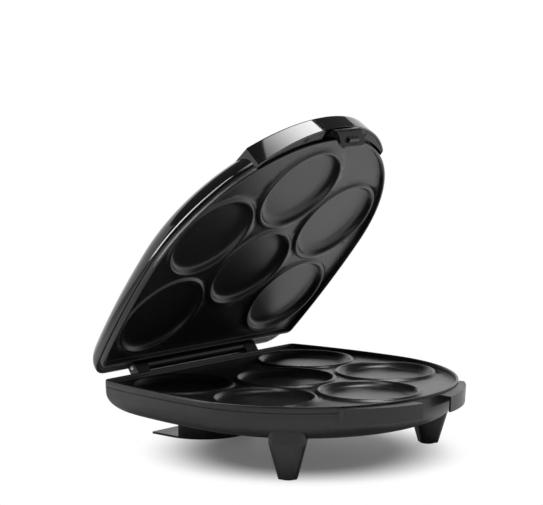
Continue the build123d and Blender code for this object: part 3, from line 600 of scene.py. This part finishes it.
tin = textured("tin_plate", (0.56, 0.56, 0.55), 0.3, 0.08, 700.0, 0.00001, Metallic=1.0)
sheath = textured("heater_sheath", (0.2, 0.19, 0.18), 0.5, 0.1, 900.0, 0.00002, Metallic=1.0)
nylon = textured("nylon", (0.7, 0.69, 0.64), 0.5, 0.06, 900.0, 0.00002, light=1.05)
phenolic = textured("phenolic", (0.06, 0.045, 0.038), 0.5, 0.08, 900.0, 0.00003)
red_lens = textured("red_lens", (0.4, 0.02, 0.015), 0.12, 0.03, 700.0, 0.000002, Transmission_Weight=0.6)
green_lens = textured("green_lens", (0.03, 0.25, 0.06), 0.12, 0.03, 700.0, 0.000002, Transmission_Weight=0.6)
bulb = textured("lamp_glass", (0.85, 0.8, 0.72), 0.1, 0.03, 700.0, 0.000002, Transmission_Weight=0.9)

# Carried-over pieces
node_materials = {
    "base_shell": base_plastic, "rear_stand": base_plastic, "foot_pads": rubber,
    "lower_plate": coating, "upper_plate": coating, "lid_shell": gloss,
    "handle_base": inner_plastic, "latch": latch_gloss, "lower_heater": sheath, "upper_heater": sheath,
    "lower_heater_clips": tin, "upper_heater_clips": tin, "lower_heat_shield": tin,
    "upper_heat_shield": tin, "thermostat": phenolic, "thermal_fuse": tin, "terminal_block": nylon,
    "cord_gland": base_plastic, "cord_gland_nut": nylon, "hinge_pin": steel, "latch_pin": steel,
    "base_screws": zinc, "stand_screws": zinc, "lid_screws": zinc, "handle_screws": black_screw,
    "lamp_screw": zinc, "upper_plate_retainers": steel, "power_lens": red_lens,
    "ready_lens": green_lens, "power_lamp": bulb, "ready_lamp": bulb, "lamp_holder": nylon,
}
for node, node_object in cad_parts.items():
    node_object.data.materials.clear()
    node_object.data.materials.append(node_materials[node])

# Detailed pieces in place of the shell's and the plates' solids
dome = make_dome()
handle = make_handle()
hood_floor = make_hood_floor()
barrel = make_barrel()
for piece in (dome, handle, hood_floor, barrel):
    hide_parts("lid_shell")
dome.data.materials.append(gloss)
handle.data.materials.append(gloss)
hood_floor.data.materials.append(inner_plastic)
barrel.data.materials.append(base_plastic)
lower = make_plate("lower_cooking_plate", on_table, "base", 1)
upper = make_plate("upper_cooking_plate", on_lid, "lid", -1)
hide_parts("lower_plate")
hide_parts("upper_plate")
lower.data.materials.append(coating)
upper.data.materials.append(coating)

# Stage
WHITE = (1.0, 1.0, 1.0, 1.0)
FLOOR_RADIUS = 8.0
FLOOR_COLOR = (0.9, 0.9, 0.905)
FLOOR_ROUGHNESS = 0.6
# Distances from the floor's middle, in metres, between which the camera sees it turn from lit and
# shadowed to plain white, and the share of white that its middle has
FADE_START = 0.075
FADE_END = 0.155
SHADOW_LIFT = 0.1
# Distances between which it turns white in reflections and for the light that it gives the object
REFLECTED_START = 0.17
REFLECTED_END = 0.42
# There its left side turns back to lit floor, past these distances and between these x values
NEAR_END = 0.55
DARK_START = 0.85
DARK_SIDE_X = -0.7
BRIGHT_SIDE_X = 0.1


def smooth_range(nodes, links, source, low, high, to_low, to_high):
    """Output that turns a number from one range softly into another."""
    node = nodes.new("ShaderNodeMapRange")
    node.interpolation_type = "SMOOTHSTEP"
    node.inputs["From Min"].default_value = low
    node.inputs["From Max"].default_value = high
    node.inputs["To Min"].default_value = to_low
    node.inputs["To Max"].default_value = to_high
    links.new(source, node.inputs["Value"])
    return node.outputs["Result"]


def combine(nodes, links, operation, first, second):
    """Output that combines two numbers."""
    node = nodes.new("ShaderNodeMath")
    node.operation = operation
    links.new(first, node.inputs[0])
    links.new(second, node.inputs[1])
    return node.outputs["Value"]


def object_axis(nodes, links, axis):
    """Output with one of a point's coordinates in its object's own space."""
    place = nodes.new("ShaderNodeTexCoord")
    split = nodes.new("ShaderNodeSeparateXYZ")
    links.new(place.outputs["Object"], split.inputs["Vector"])
    return split.outputs[axis]


def seen_directly(nodes, links):
    """Output that is 1 for the camera and through clear pieces, and 0 for all other rays."""
    path = nodes.new("ShaderNodeLightPath")
    rays = (path.outputs["Is Camera Ray"], path.outputs["Is Transmission Ray"])
    return combine(nodes, links, "MAXIMUM", *rays)


def aim(thing, place, direction):
    """Puts a thing at a place, looking in a direction."""
    thing.location = place
    thing.rotation_mode = "QUATERNION"
    thing.rotation_quaternion = direction.to_track_quat("-Z", "Y")


def make_floor():
    """Pale floor that keeps the shadow at its middle and is plain white further out."""
    signs = ((-1, -1), (1, -1), (1, 1), (-1, 1))
    corners = [(FLOOR_RADIUS * x, FLOOR_RADIUS * y, 0.0) for x, y in signs]
    floor = add_mesh("floor", corners, [(0, 1, 2, 3)])
    made, shader = material("pale_floor", FLOOR_COLOR, FLOOR_ROUGHNESS)
    nodes, links = made.node_tree.nodes, made.node_tree.links
    white = nodes.new("ShaderNodeEmission")
    white.inputs["Color"].default_value = WHITE
    white.inputs["Strength"].default_value = 1.0
    place = nodes.new("ShaderNodeTexCoord")
    length = nodes.new("ShaderNodeVectorMath")
    length.operation = "LENGTH"
    links.new(place.outputs["Object"], length.inputs[0])
    distance = length.outputs["Value"]
    across = object_axis(nodes, links, "X")
    seen_white = smooth_range(nodes, links, distance, FADE_START, FADE_END, SHADOW_LIFT, 1.0)
    far = smooth_range(nodes, links, distance, REFLECTED_START, REFLECTED_END, 0.0, 1.0)
    bright_side = smooth_range(nodes, links, across, DARK_SIDE_X, BRIGHT_SIDE_X, 0.0, 1.0)
    near = smooth_range(nodes, links, distance, NEAR_END, DARK_START, 1.0, 0.0)
    bright = combine(nodes, links, "MAXIMUM", bright_side, near)
    share = nodes.new("ShaderNodeMix")
    share.data_type = "FLOAT"
    links.new(seen_directly(nodes, links), share.inputs["Factor"])
    links.new(combine(nodes, links, "MULTIPLY", far, bright), share.inputs["A"])
    links.new(seen_white, share.inputs["B"])
    mix = nodes.new("ShaderNodeMixShader")
    links.new(share.outputs["Result"], mix.inputs["Fac"])
    links.new(shader.outputs["BSDF"], mix.inputs[1])
    links.new(white.outputs["Emission"], mix.inputs[2])
    links.new(mix.outputs["Shader"], nodes["Material Output"].inputs["Surface"])
    floor.data.materials.append(made)


DIM_WORLD = 0.1


def make_world():
    """White to the camera and through clear pieces, and dim to all other rays."""
    world = bpy.data.worlds.new("studio")
    bpy.context.scene.world = world
    world.use_nodes = True
    nodes, links = world.node_tree.nodes, world.node_tree.links
    seen = nodes["Background"]
    seen.inputs["Color"].default_value = WHITE
    seen.inputs["Strength"].default_value = 1.0
    dim = nodes.new("ShaderNodeBackground")
    dim.inputs["Color"].default_value = WHITE
    dim.inputs["Strength"].default_value = DIM_WORLD
    choose = nodes.new("ShaderNodeMixShader")
    links.new(seen_directly(nodes, links), choose.inputs["Fac"])
    links.new(dim.outputs["Background"], choose.inputs[1])
    links.new(seen.outputs["Background"], choose.inputs[2])
    links.new(choose.outputs["Shader"], nodes["World Output"].inputs["Surface"])


def glow(name, thing, strength_of):
    """Gives a thing a glowing material, whose strength is an output that strength_of makes."""
    made = bpy.data.materials.new(name)
    made.use_nodes = True
    nodes, links = made.node_tree.nodes, made.node_tree.links
    shine = nodes.new("ShaderNodeEmission")
    links.new(strength_of(nodes, links), shine.inputs["Strength"])
    links.new(shine.outputs["Emission"], nodes["Material Output"].inputs["Surface"])
    thing.data.materials.append(made)


# The backdrop's radius and height in metres, and its ends in degrees
BACKDROP_RADIUS = 4.0
BACKDROP_HEIGHT = 2.0
BACKDROP_START = -60
BACKDROP_END = 138
BACKDROP_STEPS = 48
# It turns from dim to white between these y values, from its front end on
BACKDROP_DIM = 0.1
BACKDROP_DIM_Y = -3.5
BACKDROP_WHITE_Y = -1.9


def make_backdrop():
    """Curved wall at the right and behind, which lights the object and shows in reflections."""
    points, faces = [], []
    for step in range(BACKDROP_STEPS + 1):
        angle = math.radians(BACKDROP_START + (BACKDROP_END - BACKDROP_START) * step / BACKDROP_STEPS)
        for z in (0.0, BACKDROP_HEIGHT):
            points.append((BACKDROP_RADIUS * math.cos(angle), BACKDROP_RADIUS * math.sin(angle), z))
        if step:
            number = 2 * step
            faces.append((number - 2, number, number + 1, number - 1))
    wall = add_mesh("backdrop", points, faces)

    def strength(nodes, links):
        depth = object_axis(nodes, links, "Y")
        return smooth_range(nodes, links, depth, BACKDROP_DIM_Y, BACKDROP_WHITE_Y, BACKDROP_DIM, 1.0)

    glow("backdrop_white", wall, strength)


# The lamp above, in metres and watts. Reflections don't show it, but a graded card of its size in its
# place, with these strengths at two of the card's own x values.
TOP_PLACE = (0.02, -0.16, 1.25)
TOP_TARGET = (0.0, 0.0, 0.1)
TOP_DIRECTION = Vector(TOP_TARGET) - Vector(TOP_PLACE)
TOP_WIDTH = 1.1
TOP_DEPTH = 0.42
TOP_POWER = 14.0
TOP_STRENGTHS = (2.0, 11.0)


def make_lamp():
    """Rectangular lamp above, which reflections don't show."""
    lamp = bpy.data.lights.new("top_softbox", "AREA")
    lamp.shape = "RECTANGLE"
    lamp.size = TOP_WIDTH
    lamp.size_y = TOP_DEPTH
    lamp.energy = TOP_POWER
    holder = bpy.data.objects.new("top_softbox", lamp)
    bpy.context.scene.collection.objects.link(holder)
    aim(holder, TOP_PLACE, TOP_DIRECTION)
    holder.visible_glossy = False


def reflection_card(name, points, faces, x_range, strengths):
    """Glowing card that only reflections show, with a strength that changes between two x values."""
    card = add_mesh(name, points, faces)

    def strength(nodes, links):
        across = object_axis(nodes, links, "X")
        graded = smooth_range(nodes, links, across, *x_range, *strengths)
        path = nodes.new("ShaderNodeLightPath")
        return combine(nodes, links, "MULTIPLY", graded, path.outputs["Is Glossy Ray"])

    glow(name, card, strength)
    card.visible_camera = False
    card.visible_diffuse = False
    card.visible_shadow = False
    return card


def make_top_card():
    """Card in the lamp's place, which gives the handle its graded highlight."""
    half_width = TOP_WIDTH / 2
    half_depth = TOP_DEPTH / 2
    corners = [
        (-half_width, -half_depth, 0), (half_width, -half_depth, 0),
        (half_width, half_depth, 0), (-half_width, half_depth, 0),
    ]
    x_range = (-half_width, half_width / 2)
    card = reflection_card("top_card", corners, [(3, 2, 1, 0)], x_range, TOP_STRENGTHS)
    aim(card, TOP_PLACE, TOP_DIRECTION)


# The strip at the left, in metres and degrees. Its azimuths and elevations are the directions that
# the edge of the lid's plate reflects at the photograph's angle, where it was fitted; other angles
# show it elsewhere. Its strengths stand at two x values.
STRIP_MIDDLE = Vector((-0.12, 0.0, 0.22))
STRIP_DISTANCE = 2.0
STRIP_HALF_WIDTH = 8.0
STRIP_DIRECTIONS = ((140, -4), (150, 8), (162, 22), (170, 33), (176, 43), (184, 62))
STRIP_X_RANGE = (-2.1, -1.4)
STRIP_STRENGTHS = (16.0, 9.0)


def make_left_card():
    """Curved strip at the left, which gives the lid's left edge its bright line."""
    points, faces = [], []
    for azimuth, elevation in STRIP_DIRECTIONS:
        rise = math.radians(elevation)
        flat = math.cos(rise)
        for side in (-1, 1):
            turn = math.radians(azimuth + side * STRIP_HALF_WIDTH)
            offset = Vector((math.cos(turn) * flat, math.sin(turn) * flat, math.sin(rise)))
            points.append(STRIP_MIDDLE + STRIP_DISTANCE * offset)
        count = len(points)
        if count > 2:
            faces.append((count - 4, count - 3, count - 1, count - 2))
    reflection_card("left_card", points, faces, STRIP_X_RANGE, STRIP_STRENGTHS)


make_floor()
make_world()
make_backdrop()
make_lamp()
make_top_card()
make_left_card()

# Camera: the photograph's angle
CAMERA_PLACE = Vector((-1.5626, -1.33293, 0.4493))
CAMERA_AZIMUTH = math.radians(-48.72)
CAMERA_ELEVATION = math.radians(7.46)
CAMERA_LENS = 153.04
CAMERA_REACH = 60.0
camera_data = bpy.data.cameras.new("camera")
camera_data.lens = CAMERA_LENS
camera_data.clip_end = CAMERA_REACH
camera = bpy.data.objects.new("camera", camera_data)
bpy.context.scene.collection.objects.link(camera)
backward = Vector((
    math.sin(CAMERA_AZIMUTH) * math.cos(CAMERA_ELEVATION),
    -math.cos(CAMERA_AZIMUTH) * math.cos(CAMERA_ELEVATION),
    math.sin(CAMERA_ELEVATION),
))
aim(camera, CAMERA_PLACE, -backward)
bpy.context.scene.camera = camera
bpy.context.scene.view_settings.view_transform = "Standard"
